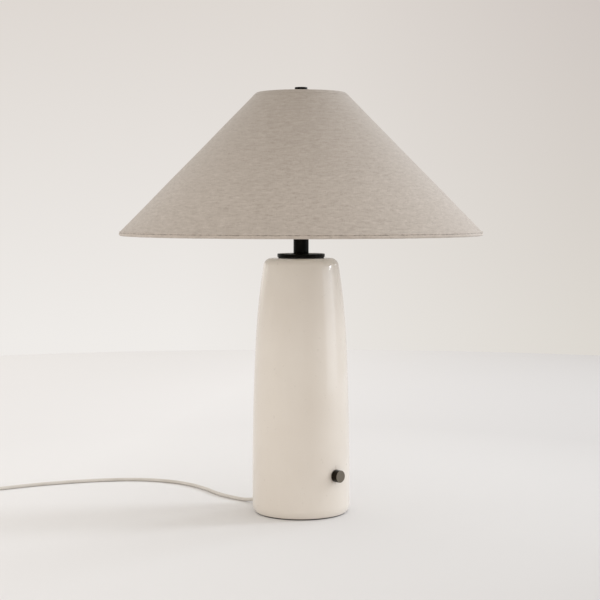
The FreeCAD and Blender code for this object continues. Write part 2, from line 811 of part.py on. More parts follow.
def socket_pieces():
    """The socket's cap, shell, paper liner, insulating interior, thread shell, contact and terminals."""
    pipe_fit = "pipe_radius + pipe_fit"
    keep(lathe("socket_cap", [
        (pipe_fit, "socket_low"),
        ("socket_hub", "socket_low"),
        ("socket_cap_radius", "socket_cone_high"),
        ("socket_cap_radius", "socket_cap_high"),
        ("socket_cap_radius - socket_thick", "socket_cap_high"),
        ("socket_cap_radius - socket_thick", "socket_cone_high"),
        ("socket_hub - socket_thick / 2", "socket_low + socket_thick"),
        (pipe_fit, "socket_low + socket_thick"),
    ]))
    keep(lathe("socket_shell", [
        ("shell_radius - shell_thick", "shell_low"),
        ("shell_radius", "shell_low"),
        ("shell_radius", "shell_high"),
        ("shell_lip", "shell_high"),
        ("shell_lip", "shell_high - shell_thick"),
        ("shell_radius - shell_thick", "shell_high - shell_thick"),
    ]))
    keep(lathe("socket_liner", ring("liner_radius - liner_thick", "liner_radius", "liner_low", "liner_high")))
    keep(lathe("socket_interior", ring("0", "interior_radius", "interior_low", "interior_high")))
    flange_top = "interior_high + thread_flange_thick"
    keep(lathe("screw_shell", [
        ("thread_flange", "interior_high"),
        ("thread_radius", "interior_high"),
        ("thread_radius", "thread_high"),
        ("thread_bore", "thread_high"),
        ("thread_bore", flange_top),
        ("thread_flange", flange_top),
    ]))
    bend = "contact_half / 2"
    keep(slab("centre_contact", [
        ("-contact_half", "interior_high"),
        ("-" + bend, "interior_high"),
        ("contact_thick", "contact_high - contact_thick"),
        (bend, "contact_high - 3 * contact_thick"),
        (bend, "contact_high - 2 * contact_thick"),
        ("contact_thick", "contact_high"),
        ("-" + bend + " - contact_thick", "interior_high + contact_thick"),
        ("-contact_half", "interior_high + contact_thick"),
    ], "contact_width"))
    reach = "interior_radius + 0.05"
    screws = [
        rod("terminal_screw_" + name, "screw_head", "screw_head_thick", y=sign + "(" + reach + ")",
            z="screw_height", axis=(1, 0, 0), turn=turn)
        for name, sign, turn in (("front", "-", "90"), ("back", "", "-90"))
    ]
    keep(group("terminal_screws", *screws))
    low = size("pipe_high") + 0.3
    high = size("interior_low") - 0.7
    wires = []
    for name, side in (("front", -1), ("back", 1)):
        points = [(0.0, 1.3 * side, low), (0.0, 1.8 * side, (low + high) / 2), (0.0, 3.2 * side, high)]
        wires.append(tube_along("socket_wire_" + name, points, "wire_core_radius"))
    keep(group("socket_wires", *wires))


# Bulb

def bulb_pieces():
    """The bulb's dome, housing and metal cap, and the insulator and contact at its tip."""
    keep(lathe("bulb_contact", [
        ("0", "tip_low"),
        ("tip_radius - 1.5", "tip_low + 0.2"),
        ("tip_radius", "insulator_low"),
        ("0", "insulator_low"),
    ]))
    keep(lathe("bulb_insulator", [
        ("0", "insulator_low"),
        ("tip_radius + 0.4", "insulator_low"),
        ("insulator_radius", "insulator_high"),
        ("0", "insulator_high"),
    ]))
    keep(lathe("bulb_cap", [
        ("0", "bulb_cap_low"),
        ("insulator_radius", "bulb_cap_low"),
        ("bulb_cap_radius", "bulb_cap_low + 1.6"),
        ("bulb_cap_radius", "bulb_cap_high"),
        ("0", "bulb_cap_high"),
    ]))
    seat = "sqrt(bulb_radius^2 - (bulb_middle - bulb_housing_high)^2)"
    inner_seat = "sqrt((bulb_radius - bulb_wall)^2 - (bulb_middle - bulb_housing_high)^2)"
    keep(lathe("bulb_housing", [
        ("0", "bulb_cap_high"),
        ("bulb_skirt_radius", "bulb_cap_high"),
        ("bulb_skirt_radius", "bulb_skirt_high"),
        (seat, "bulb_housing_high", "tangent"),
        ("0", "bulb_housing_high"),
    ]))
    keep(lathe("bulb_dome", [
        (seat, "bulb_housing_high"),
        ("0", "bulb_middle + bulb_radius", ("left", "bulb_radius")),
        ("0", "bulb_middle + bulb_radius - bulb_wall"),
        (inner_seat, "bulb_housing_high", ("right", "bulb_radius - bulb_wall")),
    ]))


# Shade

def shade_skins():
    """The cone of fabric and the stiff liner inside it."""
    keep(lathe("shade_cover", [
        ("shade_low_radius - cover_wide", "shade_low"),
        ("shade_low_radius", "shade_low"),
        ("shade_high_radius", "shade_high"),
        ("shade_high_radius - cover_wide", "shade_high"),
    ]))
    slope = "(shade_low_radius - shade_high_radius) / (shade_high - shade_low)"
    low = f"shade_low_radius - cover_wide - skin_gap - liner_inset * {slope}"
    high = f"shade_high_radius - cover_wide - skin_gap + liner_inset * {slope}"
    keep(lathe("shade_liner", [
        (low + " - liner_wide", "shade_low + liner_inset"),
        (low, "shade_low + liner_inset"),
        (high, "shade_high - liner_inset"),
        (high + " - liner_wide", "shade_high - liner_inset"),
    ]))


def wire_ring(name, middle, height):
    """A round wire ring of the shade's frame."""
    item = doc.addObject("Part::Torus", name)
    item.setExpression("Radius1", bound(middle))
    item.setExpression("Radius2", bound("ring_radius"))
    return place(item, z=height)


def fold_corners(middle, height, reach):
    """Corners of a fold round the lower half of a ring's wire."""
    return [
        (f"{middle} + {reach} * cos({angle}deg)", f"{height} + {reach} * sin({angle}deg)")
        for angle in range(180, 361, 30)
    ]


def shade_rims():
    """The wire ring at each end of the cone and the fabric hem folded over it."""
    keep(wire_ring("top_ring", "top_ring_middle", "top_ring_height"))
    keep(wire_ring("bottom_ring", "bottom_ring_middle", "bottom_ring_height"))
    fit = "(ring_radius + ring_fit)"
    middle = "top_ring_middle"
    height = "top_ring_height"
    keep(lathe("hem_top", [
        ("shade_high_radius", "shade_high"),
        (middle + " + hem_round * cos(45deg)", height + " + hem_round * sin(45deg)"),
        (middle, height + " + hem_round", ("left", "hem_round")),
        (middle + " - hem_round", height, ("left", "hem_round")),
        (middle + " - hem_round", "shade_high"),
        (middle + " - " + fit, "shade_high"),
        (middle + " - " + fit, height),
        (middle, height + " + " + fit, ("right", fit)),
        (middle + " + " + fit, height, ("right", fit)),
        (middle + " + " + fit, "shade_high"),
    ]))
    middle = "bottom_ring_middle"
    height = "bottom_ring_height"
    keep(lathe("hem_bottom", [
        (middle + " - hem_round", "shade_low"),
        *fold_corners(middle, height, "hem_round"),
        (middle + " + hem_round", "shade_low"),
        (middle + " + " + fit, "shade_low"),
        *reversed(fold_corners(middle, height, fit)),
        (middle + " - " + fit, "shade_low"),
    ]))


def spider():
    """The hub that sits on the swivel, and three sloping spokes up to the top ring."""
    keep(lathe("spider_hub", ring("hub_bore", "hub_radius", "hub_low", "hub_low + hub_thick")))
    start_height = size("hub_low + hub_thick / 2")
    run = size("spoke_end - spoke_start")
    rise = size("spoke_end_height") - start_height
    length = math.hypot(run, rise)
    lean = FreeCAD.Rotation(FreeCAD.Vector(0, 1, 0), math.degrees(math.atan2(run, rise)))
    spokes = []
    for number in range(3):
        swing = FreeCAD.Rotation(FreeCAD.Vector(0, 0, 1), 90 + 120 * number)
        spoke = rod(f"spoke_{number + 1}", "spoke_radius", str(length))
        foot = swing.multVec(FreeCAD.Vector(size("spoke_start"), 0, start_height))
        spoke.Placement = FreeCAD.Placement(foot, swing * lean)
        spokes.append(spoke)
    keep(group("spider_arms", *spokes))


# Finial

def finial_pieces():
    """The finial and the threaded insert in it."""
    keep(lathe("finial", [
        ("finial_bore", "finial_low"),
        ("finial_radius - finial_edge / 2", "finial_low"),
        ("finial_radius", "finial_low + finial_edge / 2"),
        ("finial_radius", "finial_high - finial_edge"),
        ("finial_radius - finial_edge", "finial_high", ("left", "finial_edge")),
        ("0", "finial_high"),
        ("0", "finial_bore_end"),
        ("finial_bore", "finial_bore_end"),
    ]))
    keep(lathe("finial_insert", ring("insert_bore", "insert_radius", "insert_low", "insert_high")))


def build():
    """Make every sub-part."""
    base_pieces()
    dimmer_pieces()
    strain_relief()
    cord_pieces()
    coil_pieces()
    plug_pieces()
    top_pieces()
    saddle()
    harp_pieces()
    socket_pieces()
    bulb_pieces()
    shade_skins()
    shade_rims()
    spider()
    finial_pieces()


def write_parts():
    """Check every object and write each sub-part to its own file."""
    doc.recompute()
    for item in doc.Objects:
        if {"Invalid", "Error"} & set(item.State):
            raise RuntimeError(item.Label + " failed: " + ", ".join(item.State))
    os.makedirs("parts", exist_ok=True)
    for item in sub_parts:
        if item.Shape.isNull() or not item.Shape.isValid():
            raise RuntimeError(item.Label + " has no valid shape")
        item.Shape.exportStep(os.path.join("parts", item.Label + ".step"))
    print(len(sub_parts), "sub-parts written")


build()
write_parts()
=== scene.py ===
import math

import bmesh
import bpy
from mathutils import Matrix, Vector, noise

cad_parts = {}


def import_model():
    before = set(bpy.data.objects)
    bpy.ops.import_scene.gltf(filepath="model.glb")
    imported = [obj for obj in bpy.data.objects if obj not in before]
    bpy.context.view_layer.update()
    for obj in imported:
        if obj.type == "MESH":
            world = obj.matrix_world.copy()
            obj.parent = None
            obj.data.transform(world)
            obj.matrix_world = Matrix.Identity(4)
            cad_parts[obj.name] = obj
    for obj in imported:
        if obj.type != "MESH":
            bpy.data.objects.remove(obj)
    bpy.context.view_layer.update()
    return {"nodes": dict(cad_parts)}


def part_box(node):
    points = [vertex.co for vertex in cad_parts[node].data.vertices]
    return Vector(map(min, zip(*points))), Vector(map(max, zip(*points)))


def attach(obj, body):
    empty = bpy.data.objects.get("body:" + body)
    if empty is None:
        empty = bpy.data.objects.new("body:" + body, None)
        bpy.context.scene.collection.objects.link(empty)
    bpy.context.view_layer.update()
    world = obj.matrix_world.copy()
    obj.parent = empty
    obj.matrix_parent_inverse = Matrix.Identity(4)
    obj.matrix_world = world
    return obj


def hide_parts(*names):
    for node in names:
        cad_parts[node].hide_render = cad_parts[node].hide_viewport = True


# Table lamp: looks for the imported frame. Metres, +Z up; the knob faces -Y and the harp stands in XZ.

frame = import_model()
MM = 0.001
TURN = 2 * math.pi
UP = Vector((0, 0, 1))


# ---------------------------------------------------------------- camera

VIEW_TURN = math.radians(-44)
CAMERA_AWAY = 1.994
CAMERA_HEIGHT = 0.4298
CAMERA_PITCH = 0.06475
CAMERA_SIDESTEP = 0.0015
SENSOR_MM = 36
LENS_MM = 85

into_view = Vector((-math.sin(VIEW_TURN), math.cos(VIEW_TURN), 0))
to_right = Vector((math.cos(VIEW_TURN), math.sin(VIEW_TURN), 0))
FACING = math.atan2(-into_view.y, -into_view.x)


def place_camera():
    """The camera that gives the lamp's pictured view."""
    data = bpy.data.cameras.new("camera")
    data.lens = LENS_MM
    data.sensor_width = SENSOR_MM
    data.clip_end = 50
    camera = bpy.data.objects.new("camera", data)
    camera.location = into_view * -CAMERA_AWAY - to_right * CAMERA_SIDESTEP + UP * CAMERA_HEIGHT
    camera.rotation_euler = (math.pi / 2 - CAMERA_PITCH, 0, VIEW_TURN)
    bpy.context.scene.collection.objects.link(camera)
    bpy.context.scene.camera = camera


# ---------------------------------------------------------------- shader helpers

def node(tree, kind, inputs=(), **settings):
    """A shader node with its settings, and its inputs as values or as other nodes' outputs."""
    item = tree.nodes.new("ShaderNode" + kind)
    for key, value in settings.items():
        setattr(item, key, value)
    for key, value in dict(inputs).items():
        if isinstance(value, bpy.types.NodeSocket):
            tree.links.new(value, item.inputs[key])
        else:
            item.inputs[key].default_value = value
    return item


def rgba(colour):
    """A colour with full alpha."""
    return (*colour, 1.0)


def new_material(name, **sockets):
    """A material, its node tree and its shader, with constant values on the shader's sockets."""
    item = bpy.data.materials.new(name)
    item.use_nodes = True
    tree = item.node_tree
    shader = tree.nodes["Principled BSDF"]
    for key, value in sockets.items():
        shader.inputs[key.replace("_", " ")].default_value = value
    return item, tree, shader


def object_point(tree, stretch=(1, 1, 1)):
    """The point on the object in metres, stretched."""
    place = node(tree, "TexCoord").outputs["Object"]
    return node(tree, "Mapping", {"Vector": place, "Scale": stretch}).outputs["Vector"]


def skin_point(tree, stretch=(1, 1, 1)):
    """The point on the unrolled skin, from the mesh's own map, stretched."""
    place = node(tree, "TexCoord").outputs["UV"]
    return node(tree, "Mapping", {"Vector": place, "Scale": stretch}).outputs["Vector"]


def mottle(tree, point, scale, detail=3.0, roughness=0.5, swirl=0.0):
    """Smooth noise from 0 to 1."""
    inputs = {"Vector": point, "Scale": scale, "Detail": detail, "Roughness": roughness, "Distortion": swirl}
    return node(tree, "TexNoise", inputs).outputs["Fac"]


def skin_mottle(tree, across, along, detail, roughness=0.5, swirl=0.0):
    """Smooth noise on the unrolled skin, with so many features to the metre across and along it."""
    return mottle(tree, skin_point(tree, (across, along, 1)), 1, detail, roughness, swirl)


def spread(tree, fac, low, high, to_low=0.0, to_high=1.0):
    """A value mapped from one range to another and kept inside it."""
    inputs = {"Value": fac, "From Min": low, "From Max": high, "To Min": to_low, "To Max": to_high}
    return node(tree, "MapRange", inputs).outputs["Result"]


def blend_colours(tree, fac, first, second):
    """Two colours mixed by a factor."""
    item = node(tree, "Mix", data_type="RGBA")
    for socket, value in ((item.inputs[0], fac), (item.inputs[6], first), (item.inputs[7], second)):
        if isinstance(value, bpy.types.NodeSocket):
            tree.links.new(value, socket)
        elif isinstance(value, (int, float)):
            socket.default_value = value
        else:
            socket.default_value = rgba(value)
    return item.outputs[2]


def calc(tree, operation, first, second=0.0):
    """An arithmetic operation on two values."""
    return node(tree, "Math", {0: first, 1: second}, operation=operation).outputs[0]


def raise_surface(tree, shader, height, distance, strength=1.0):
    """Bump from a height, the distance in metres for a height of 1."""
    item = node(tree, "Bump", {"Height": height, "Distance": distance, "Strength": strength})
    tree.links.new(item.outputs["Normal"], shader.inputs["Normal"])


# ---------------------------------------------------------------- materials

def glaze():
    """Warm off-white glaze, a little thinner and browner over the edges, with soft waves and pinholes."""
    deep = (0.690, 0.627, 0.553)
    pale = (0.716, 0.657, 0.585)
    thin_edge = (0.57, 0.49, 0.40)
    pinhole = (0.50, 0.42, 0.33)
    item, tree, shader = new_material("glaze", Coat_Weight=0.75, Coat_Roughness=0.06, Specular_IOR_Level=0.5)
    wide = mottle(tree, object_point(tree), 9, 3)
    fine = mottle(tree, object_point(tree), 160, 4, 0.6)
    body = blend_colours(tree, spread(tree, wide, 0.35, 0.65), deep, pale)
    edge = node(tree, "NewGeometry").outputs["Pointiness"]
    toned = blend_colours(tree, spread(tree, edge, 0.52, 0.60, 0.0, 0.6), body, thin_edge)
    speck = spread(tree, mottle(tree, object_point(tree), 900, 2, 0.5), 0.70, 0.76, 0.0, 0.35)
    tree.links.new(blend_colours(tree, speck, toned, pinhole), shader.inputs["Base Color"])
    tree.links.new(spread(tree, fine, 0.3, 0.7, 0.27, 0.36), shader.inputs["Roughness"])
    waves = mottle(tree, object_point(tree, (1, 1, 0.45)), 22, 2)
    peel = mottle(tree, object_point(tree), 240, 2)
    height = calc(tree, "ADD", waves, calc(tree, "MULTIPLY", peel, 0.05))
    raise_surface(tree, shader, height, 0.0006, 0.6)
    return item


LINEN_DARK = (0.335, 0.289, 0.247)
LINEN_MIDDLE = (0.430, 0.377, 0.328)
LINEN_LIGHT = (0.502, 0.446, 0.393)
# Painted shade colour: the linen's darkening high on the shade and along the hem's crease.
LINEN_PAINTED_SHADE = (0.265, 0.228, 0.193)
THREADS_SCALE = 230
BOTTOM_CREASE = 2.8 * MM
CREASE_WANDER = 2.2 * MM


def dimmed(colour, factor):
    """A colour with every part multiplied by a factor."""
    return tuple(part * factor for part in colour)


def slub_tone(tree):
    """Light and dark from 0 to 1: slubs and flecks along the weft and finer streaks along the warp."""
    slub = skin_mottle(tree, 85, 270, 2, 0.5, 0.7)
    fleck = skin_mottle(tree, 210, 520, 2, 0.6, 0.4)
    warp = skin_mottle(tree, 800, 130, 2)
    tone = calc(tree, "ADD", calc(tree, "MULTIPLY", slub, 0.50), calc(tree, "MULTIPLY", fleck, 0.27))
    return calc(tree, "ADD", tone, calc(tree, "MULTIPLY", warp, 0.23))


def weave_height(tree):
    """The crossing threads of a plain weave, from 0 to 1."""
    threads = []
    for direction, stretch in (("X", (1, 0, 0)), ("Y", (0, 1, 0))):
        inputs = {"Vector": skin_point(tree, stretch), "Scale": THREADS_SCALE, "Distortion": 0}
        wave = node(tree, "TexWave", inputs, wave_type="BANDS", bands_direction=direction)
        threads.append(wave.outputs["Fac"])
    return calc(tree, "MULTIPLY", *threads)


def painted_crease_shade(tree, colour, crease):
    """The colour with a broken, wandering dark line at a distance along the outline: painted shade in the
    crease of the raw folded edge, broken like its frayed threads.
    """
    along = node(tree, "SeparateXYZ", {0: skin_point(tree)}).outputs["Y"]
    wander = calc(tree, "MULTIPLY", skin_mottle(tree, 420, 60, 4, 0.7), CREASE_WANDER)
    # Painted shade: a dark line in the fold's crease.
    off = calc(tree, "SUBTRACT", calc(tree, "ADD", along, wander), crease + CREASE_WANDER / 2)
    depth = spread(tree, calc(tree, "ABSOLUTE", off), 0.1 * MM, 1.3 * MM, 0.75, 0.0)
    broken = spread(tree, skin_mottle(tree, 170, 90, 3, 0.6), 0.42, 0.66, 0.15, 1.0)
    return blend_colours(tree, calc(tree, "MULTIPLY", depth, broken), colour, dimmed(LINEN_PAINTED_SHADE, 0.4))


def linen(name="linen", tint=1.0, crease=None):
    """Heathered plain weave, with painted shade that makes it a little darker high on the shade.

    A crease is where along the outline a raw folded edge shows, with a painted shade line along it.
    """
    item, tree, shader = new_material(name, Roughness=0.88, Specular_IOR_Level=0.25, Sheen_Weight=0.3,
                                      Sheen_Roughness=0.5)
    tone = slub_tone(tree)
    cloud = skin_mottle(tree, 26, 40, 3)
    knots = skin_mottle(tree, 110, 250, 3, 0.6, 0.9)
    dark = dimmed(LINEN_DARK, tint)
    colour = blend_colours(tree, spread(tree, tone, 0.30, 0.48), dark, dimmed(LINEN_MIDDLE, tint))
    colour = blend_colours(tree, spread(tree, tone, 0.50, 0.66), colour, dimmed(LINEN_LIGHT, tint))
    colour = blend_colours(tree, spread(tree, cloud, 0.3, 0.7, 0.0, 0.14), colour, dark)
    colour = blend_colours(tree, spread(tree, knots, 0.60, 0.70, 0.0, 0.55), colour, dark)
    # Painted shade: the linen is darkened towards the top of the shade.
    height = node(tree, "SeparateXYZ", {0: object_point(tree)}).outputs["Z"]
    colour = blend_colours(tree, spread(tree, height, 0.44, 0.60, 0.0, 0.46), colour, LINEN_PAINTED_SHADE)
    if crease is not None:
        colour = painted_crease_shade(tree, colour, crease)
    tree.links.new(colour, shader.inputs["Base Color"])
    relief = calc(tree, "ADD", tone, calc(tree, "MULTIPLY", weave_height(tree), 0.35))
    raise_surface(tree, shader, relief, 0.5 * MM, 0.8)
    return item


def satin(name, dark, light, roughness, metallic=0.0, grain=(60, 60, 60), bump=0.00003, **sockets):
    """A finished surface with a slow change of tone, uneven gloss and a fine grain."""
    item, tree, shader = new_material(name, Metallic=metallic, **sockets)
    slow = mottle(tree, object_point(tree), 35, 3)
    fine = mottle(tree, object_point(tree, grain), 10, 4, 0.6)
    edge = node(tree, "NewGeometry").outputs["Pointiness"]
    worn = spread(tree, edge, 0.53, 0.62, 0.0, 0.5)
    colour = blend_colours(tree, spread(tree, slow, 0.3, 0.7), dark, light)
    lighter = tuple(min(1.0, part * 1.6 + 0.01) for part in light)
    tree.links.new(blend_colours(tree, worn, colour, lighter), shader.inputs["Base Color"])
    uneven = calc(tree, "ADD", calc(tree, "MULTIPLY", slow, 0.5), calc(tree, "MULTIPLY", fine, 0.5))
    gloss = spread(tree, uneven, 0.3, 0.7, roughness - 0.05, roughness + 0.07)
    tree.links.new(gloss, shader.inputs["Roughness"])
    raise_surface(tree, shader, fine, bump)
    return item


def knob_finish():
    """Blackened bronze down the knob's side, and a paler face with turning rings: the paler face is painted
    light, the reflection the face catches.
    """
    side_dark, side_light = (0.008, 0.0055, 0.0028), (0.016, 0.011, 0.006)
    # Painted light: the face colours are paler to stand for the reflection on the knob's face.
    lit_face_dark, lit_face_light = (0.155, 0.134, 0.106), (0.205, 0.178, 0.143)
    ring_dark = (0.095, 0.081, 0.063)
    item, tree, shader = new_material("dark_bronze", Metallic=0.8, Specular_IOR_Level=0.3)
    forward = node(tree, "SeparateXYZ", {0: node(tree, "TexCoord").outputs["Object"]}).outputs["Y"]
    slow = mottle(tree, object_point(tree), 120, 3)
    turning = {"Vector": object_point(tree), "Scale": 700, "Distortion": 1.5, "Detail": 2}
    rings = node(tree, "TexWave", turning, wave_type="RINGS", rings_direction="Y").outputs["Fac"]
    side = blend_colours(tree, slow, side_dark, side_light)
    face = blend_colours(tree, slow, lit_face_dark, lit_face_light)
    face = blend_colours(tree, calc(tree, "MULTIPLY", rings, 0.3), face, ring_dark)
    on_face = spread(tree, forward, 0.55 * MM - KNOB_FRONT, 0.25 * MM - KNOB_FRONT)
    tree.links.new(blend_colours(tree, on_face, side, face), shader.inputs["Base Color"])
    tree.links.new(spread(tree, on_face, 0, 1, 0.34, 0.46), shader.inputs["Roughness"])
    raise_surface(tree, shader, calc(tree, "MULTIPLY", rings, on_face), 0.00003)
    return item


def felt():
    """Dark felt with short tangled fibres."""
    item, tree, shader = new_material("felt", Roughness=0.95, Specular_IOR_Level=0.1, Sheen_Weight=0.5)
    fibres = mottle(tree, object_point(tree), 900, 5, 0.7)
    clumps = mottle(tree, object_point(tree), 90, 3)
    colour = blend_colours(tree, fibres, (0.015, 0.013, 0.012), (0.09, 0.08, 0.07))
    colour = blend_colours(tree, spread(tree, clumps, 0.3, 0.7, 0.0, 0.4), colour, (0.03, 0.027, 0.024))
    tree.links.new(colour, shader.inputs["Base Color"])
    raise_surface(tree, shader, fibres, 0.0006)
    return item


def pressed_board():
    """Brown pressed board with flecks."""
    item, tree, shader = new_material("pressed_board", Roughness=0.8)
    fleck = mottle(tree, object_point(tree), 500, 4, 0.7)
    colour = blend_colours(tree, spread(tree, fleck, 0.3, 0.7), (0.16, 0.105, 0.06), (0.30, 0.215, 0.13))
    tree.links.new(colour, shader.inputs["Base Color"])
    raise_surface(tree, shader, fleck, 0.0002)
    return item


def vinyl():
    """Warm grey cord jacket, softly moulded, with faint scuffs."""
    item, tree, shader = new_material("vinyl", Specular_IOR_Level=0.4, Coat_Weight=0.1, Coat_Roughness=0.4)
    slow = mottle(tree, object_point(tree), 30, 3)
    fine = mottle(tree, object_point(tree), 1200, 3, 0.6)
    colour = blend_colours(tree, spread(tree, slow, 0.3, 0.7), (0.565, 0.530, 0.480), (0.635, 0.600, 0.550))
    scuff = spread(tree, mottle(tree, object_point(tree), 260, 4, 0.7), 0.62, 0.75, 0.0, 0.25)
    tree.links.new(blend_colours(tree, scuff, colour, (0.38, 0.35, 0.31)), shader.inputs["Base Color"])
    tree.links.new(spread(tree, fine, 0.3, 0.7, 0.42, 0.56), shader.inputs["Roughness"])
    raise_surface(tree, shader, fine, 0.00006)
    return item


def frosted():
    """The bulb's white diffuser."""
    item, tree, shader = new_material("frosted", Subsurface_Weight=0.15, Subsurface_Scale=0.004,
                                      Subsurface_Radius=(1.0, 0.95, 0.9), Coat_Weight=0.15)
    cloud = mottle(tree, object_point(tree), 60, 3)
    colour = blend_colours(tree, spread(tree, cloud, 0.3, 0.7), (0.80, 0.79, 0.76), (0.86, 0.85, 0.83))
    tree.links.new(colour, shader.inputs["Base Color"])
    tree.links.new(spread(tree, cloud, 0.3, 0.7, 0.32, 0.42), shader.inputs["Roughness"])
    raise_surface(tree, shader, mottle(tree, object_point(tree), 800, 2), 0.00002)
    return item


def make_materials():
    """Every material by the name of the thing it covers."""
    return {
        "glaze": glaze(),
        "linen": linen(),
        # The hem rolls are the linen made a little darker at the top and paler at the bottom: painted shade
        # and painted light for how each roll catches light.
        "top_hem": linen("top_hem_linen", 0.97),
        "low_hem": linen("low_hem_linen", 1.14, BOTTOM_CREASE),
        "felt": felt(),
        "board": pressed_board(),
        "black": satin("satin_black", (0.0018, 0.0012, 0.0006), (0.0034, 0.0024, 0.0012), 0.36,
                       Specular_IOR_Level=0.06),
        "gasket": satin("gasket_rubber", (0.012, 0.012, 0.013), (0.022, 0.021, 0.021), 0.7),
        "bronze": knob_finish(),
        "steel": satin("zinc_steel", (0.50, 0.50, 0.49), (0.64, 0.63, 0.60), 0.34, 1.0, grain=(40, 40, 400)),
        "harp": satin("harp_plating", (0.44, 0.33, 0.17), (0.60, 0.46, 0.25), 0.30, 1.0, grain=(80, 80, 20)),
        "brass": satin("bright_brass", (0.56, 0.40, 0.16), (0.72, 0.54, 0.25), 0.26, 1.0),
        "socket": satin("brass_shell", (0.50, 0.37, 0.17), (0.66, 0.50, 0.25), 0.32, 1.0,
                        grain=(20, 20, 200)),
        "paper": satin("fibre_paper", (0.30, 0.23, 0.15), (0.42, 0.33, 0.22), 0.85, bump=0.00015),
        "phenolic": satin("phenolic", (0.010, 0.009, 0.008), (0.028, 0.022, 0.018), 0.30, Coat_Weight=0.3),
        "vinyl": vinyl(),
        "wire": satin("wire_jacket", (0.60, 0.58, 0.54), (0.68, 0.66, 0.62), 0.45),
        "tie": satin("tie_vinyl", (0.016, 0.016, 0.017), (0.030, 0.029, 0.029), 0.5, grain=(30, 300, 300)),
        "styrene": satin("styrene", (0.72, 0.70, 0.66), (0.78, 0.765, 0.73), 0.55, grain=(120, 120, 120)),
        "enamel": satin("white_enamel", (0.70, 0.69, 0.66), (0.78, 0.77, 0.74), 0.32, Coat_Weight=0.4),
        "diffuser": frosted(),
        "bulb_body": satin("bulb_plastic", (0.74, 0.74, 0.72), (0.80, 0.80, 0.78), 0.42),
        "bulb_metal": satin("bulb_aluminium", (0.60, 0.60, 0.60), (0.74, 0.74, 0.73), 0.30, 1.0),
    }


# ---------------------------------------------------------------- mesh helpers

def add_object(name, mesh, material):
    """A mesh object in the scene with its material."""
    item = bpy.data.objects.new(name, mesh)
    bpy.context.scene.collection.objects.link(item)
    mesh.materials.append(material)
    return item


def smooth(mesh, sharp_degrees=35):
    """Smooth shading with sharp edges kept."""
    mesh.shade_smooth()
    mesh.set_sharp_from_angle(angle=math.radians(sharp_degrees))


def arc(middle, radius, start, end, steps):
    """Points on an arc of an outline, from one angle to another in degrees."""
    points = []
    for step in range(steps + 1):
        angle = math.radians(start + (end - start) * step / steps)
        points.append((middle[0] + radius * math.cos(angle), middle[1] + radius * math.sin(angle)))
    return points


def tangent_arc(start, heading, end, steps):
    """Points after start on the arc that leaves it along a heading, up to end, and the last heading."""
    chord = Vector(end) - Vector(start)
    side = Vector((-heading.y, heading.x))
    reach = chord.dot(chord) / (2 * chord.dot(side))
    middle = Vector(start) + side * reach
    first = Vector(start) - middle
    swing = 2 * math.atan2(chord.dot(side), chord.dot(heading))
    points = []
    for step in range(1, steps + 1):
        turned = Matrix.Rotation(swing * step / steps, 2) @ first
        points.append(tuple(middle + turned))
    return points, Matrix.Rotation(swing, 2) @ heading


def line(start, end, steps):
    """Points after start along a straight piece of an outline."""
    return [(start[0] + (end[0] - start[0]) * step / steps, start[1] + (end[1] - start[1]) * step / steps)
            for step in range(1, steps + 1)]


def lathe(name, outline, material, segments=128, shift=None, matrix=None):
    """A mesh turned about Z from a closed outline of (radius, height) points.

    shift(angle, index) gives how far a point moves out and up from its round place. The map is in metres:
    round the skin from the side that faces the camera, and along the outline.
    """
    mesh = bpy.data.meshes.new(name)
    build = bmesh.new()
    skin = build.loops.layers.uv.new("skin")
    count = len(outline)
    along = [0.0]
    for index in range(count):
        here, after = outline[index], outline[(index + 1) % count]
        along.append(along[-1] + math.dist(here, after))
    rings = []
    for index, (radius, height) in enumerate(outline):
        if radius < 1e-6:
            rings.append([build.verts.new((0, 0, height))])
            continue
        ring = []
        for step in range(segments):
            angle = TURN * step / segments
            out, rise = shift(angle, index) if shift else (0.0, 0.0)
            ring.append(build.verts.new(((radius + out) * math.cos(angle), (radius + out) * math.sin(angle),
                                         height + rise)))
        rings.append(ring)
    for index in range(count):
        low, high = rings[index], rings[(index + 1) % count]
        reach = {id(low): outline[index][0], id(high): outline[(index + 1) % count][0]}
        if len(low) == 1 and len(high) == 1:
            continue
        for step in range(segments):
            after = (step + 1) % segments
            corners = [(low, step, 0), (low, after, 1), (high, after, 1), (high, step, 0)]
            if len(low) == 1:
                corners = [corners[0], corners[2], corners[3]]
            if len(high) == 1:
                corners = corners[:3]
            face = build.faces.new([ring[number % len(ring)] for ring, number, _ in corners])
            turned = (TURN * step / segments - FACING + math.pi) % TURN - math.pi
            for loop, (ring, _, far) in zip(face.loops, corners):
                across = (turned + far * TURN / segments) * reach[id(ring)]
                loop[skin].uv = (across, along[index] if ring is low else along[index + 1])
    bmesh.ops.recalc_face_normals(build, faces=build.faces)
    build.to_mesh(mesh)
    build.free()
    if matrix is not None:
        mesh.transform(matrix)
    smooth(mesh)
    return add_object(name, mesh, material)


def stand_for(item, body, slot, *nodes):
    """Attach a piece to the body it rides on and hide the CAD nodes it stands for; the finish given to it is
    not used.
    """
    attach(item, body)
    if nodes:
        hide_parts(*nodes)


def cutter(name, radius, start, end, material, segments, matrix):
    """A plain rod to cut a hole with."""
    outline = [(0, start), (radius, start), (radius, end), (0, end)]
    return lathe(name, outline, material, segments, matrix=matrix)


def apply_modifiers(item):
    """The object's mesh with its modifiers applied and removed."""
    graph = bpy.context.evaluated_depsgraph_get()
    mesh = bpy.data.meshes.new_from_object(item.evaluated_get(graph))
    item.modifiers.clear()
    old = item.data
    item.data = mesh
    bpy.data.meshes.remove(old)


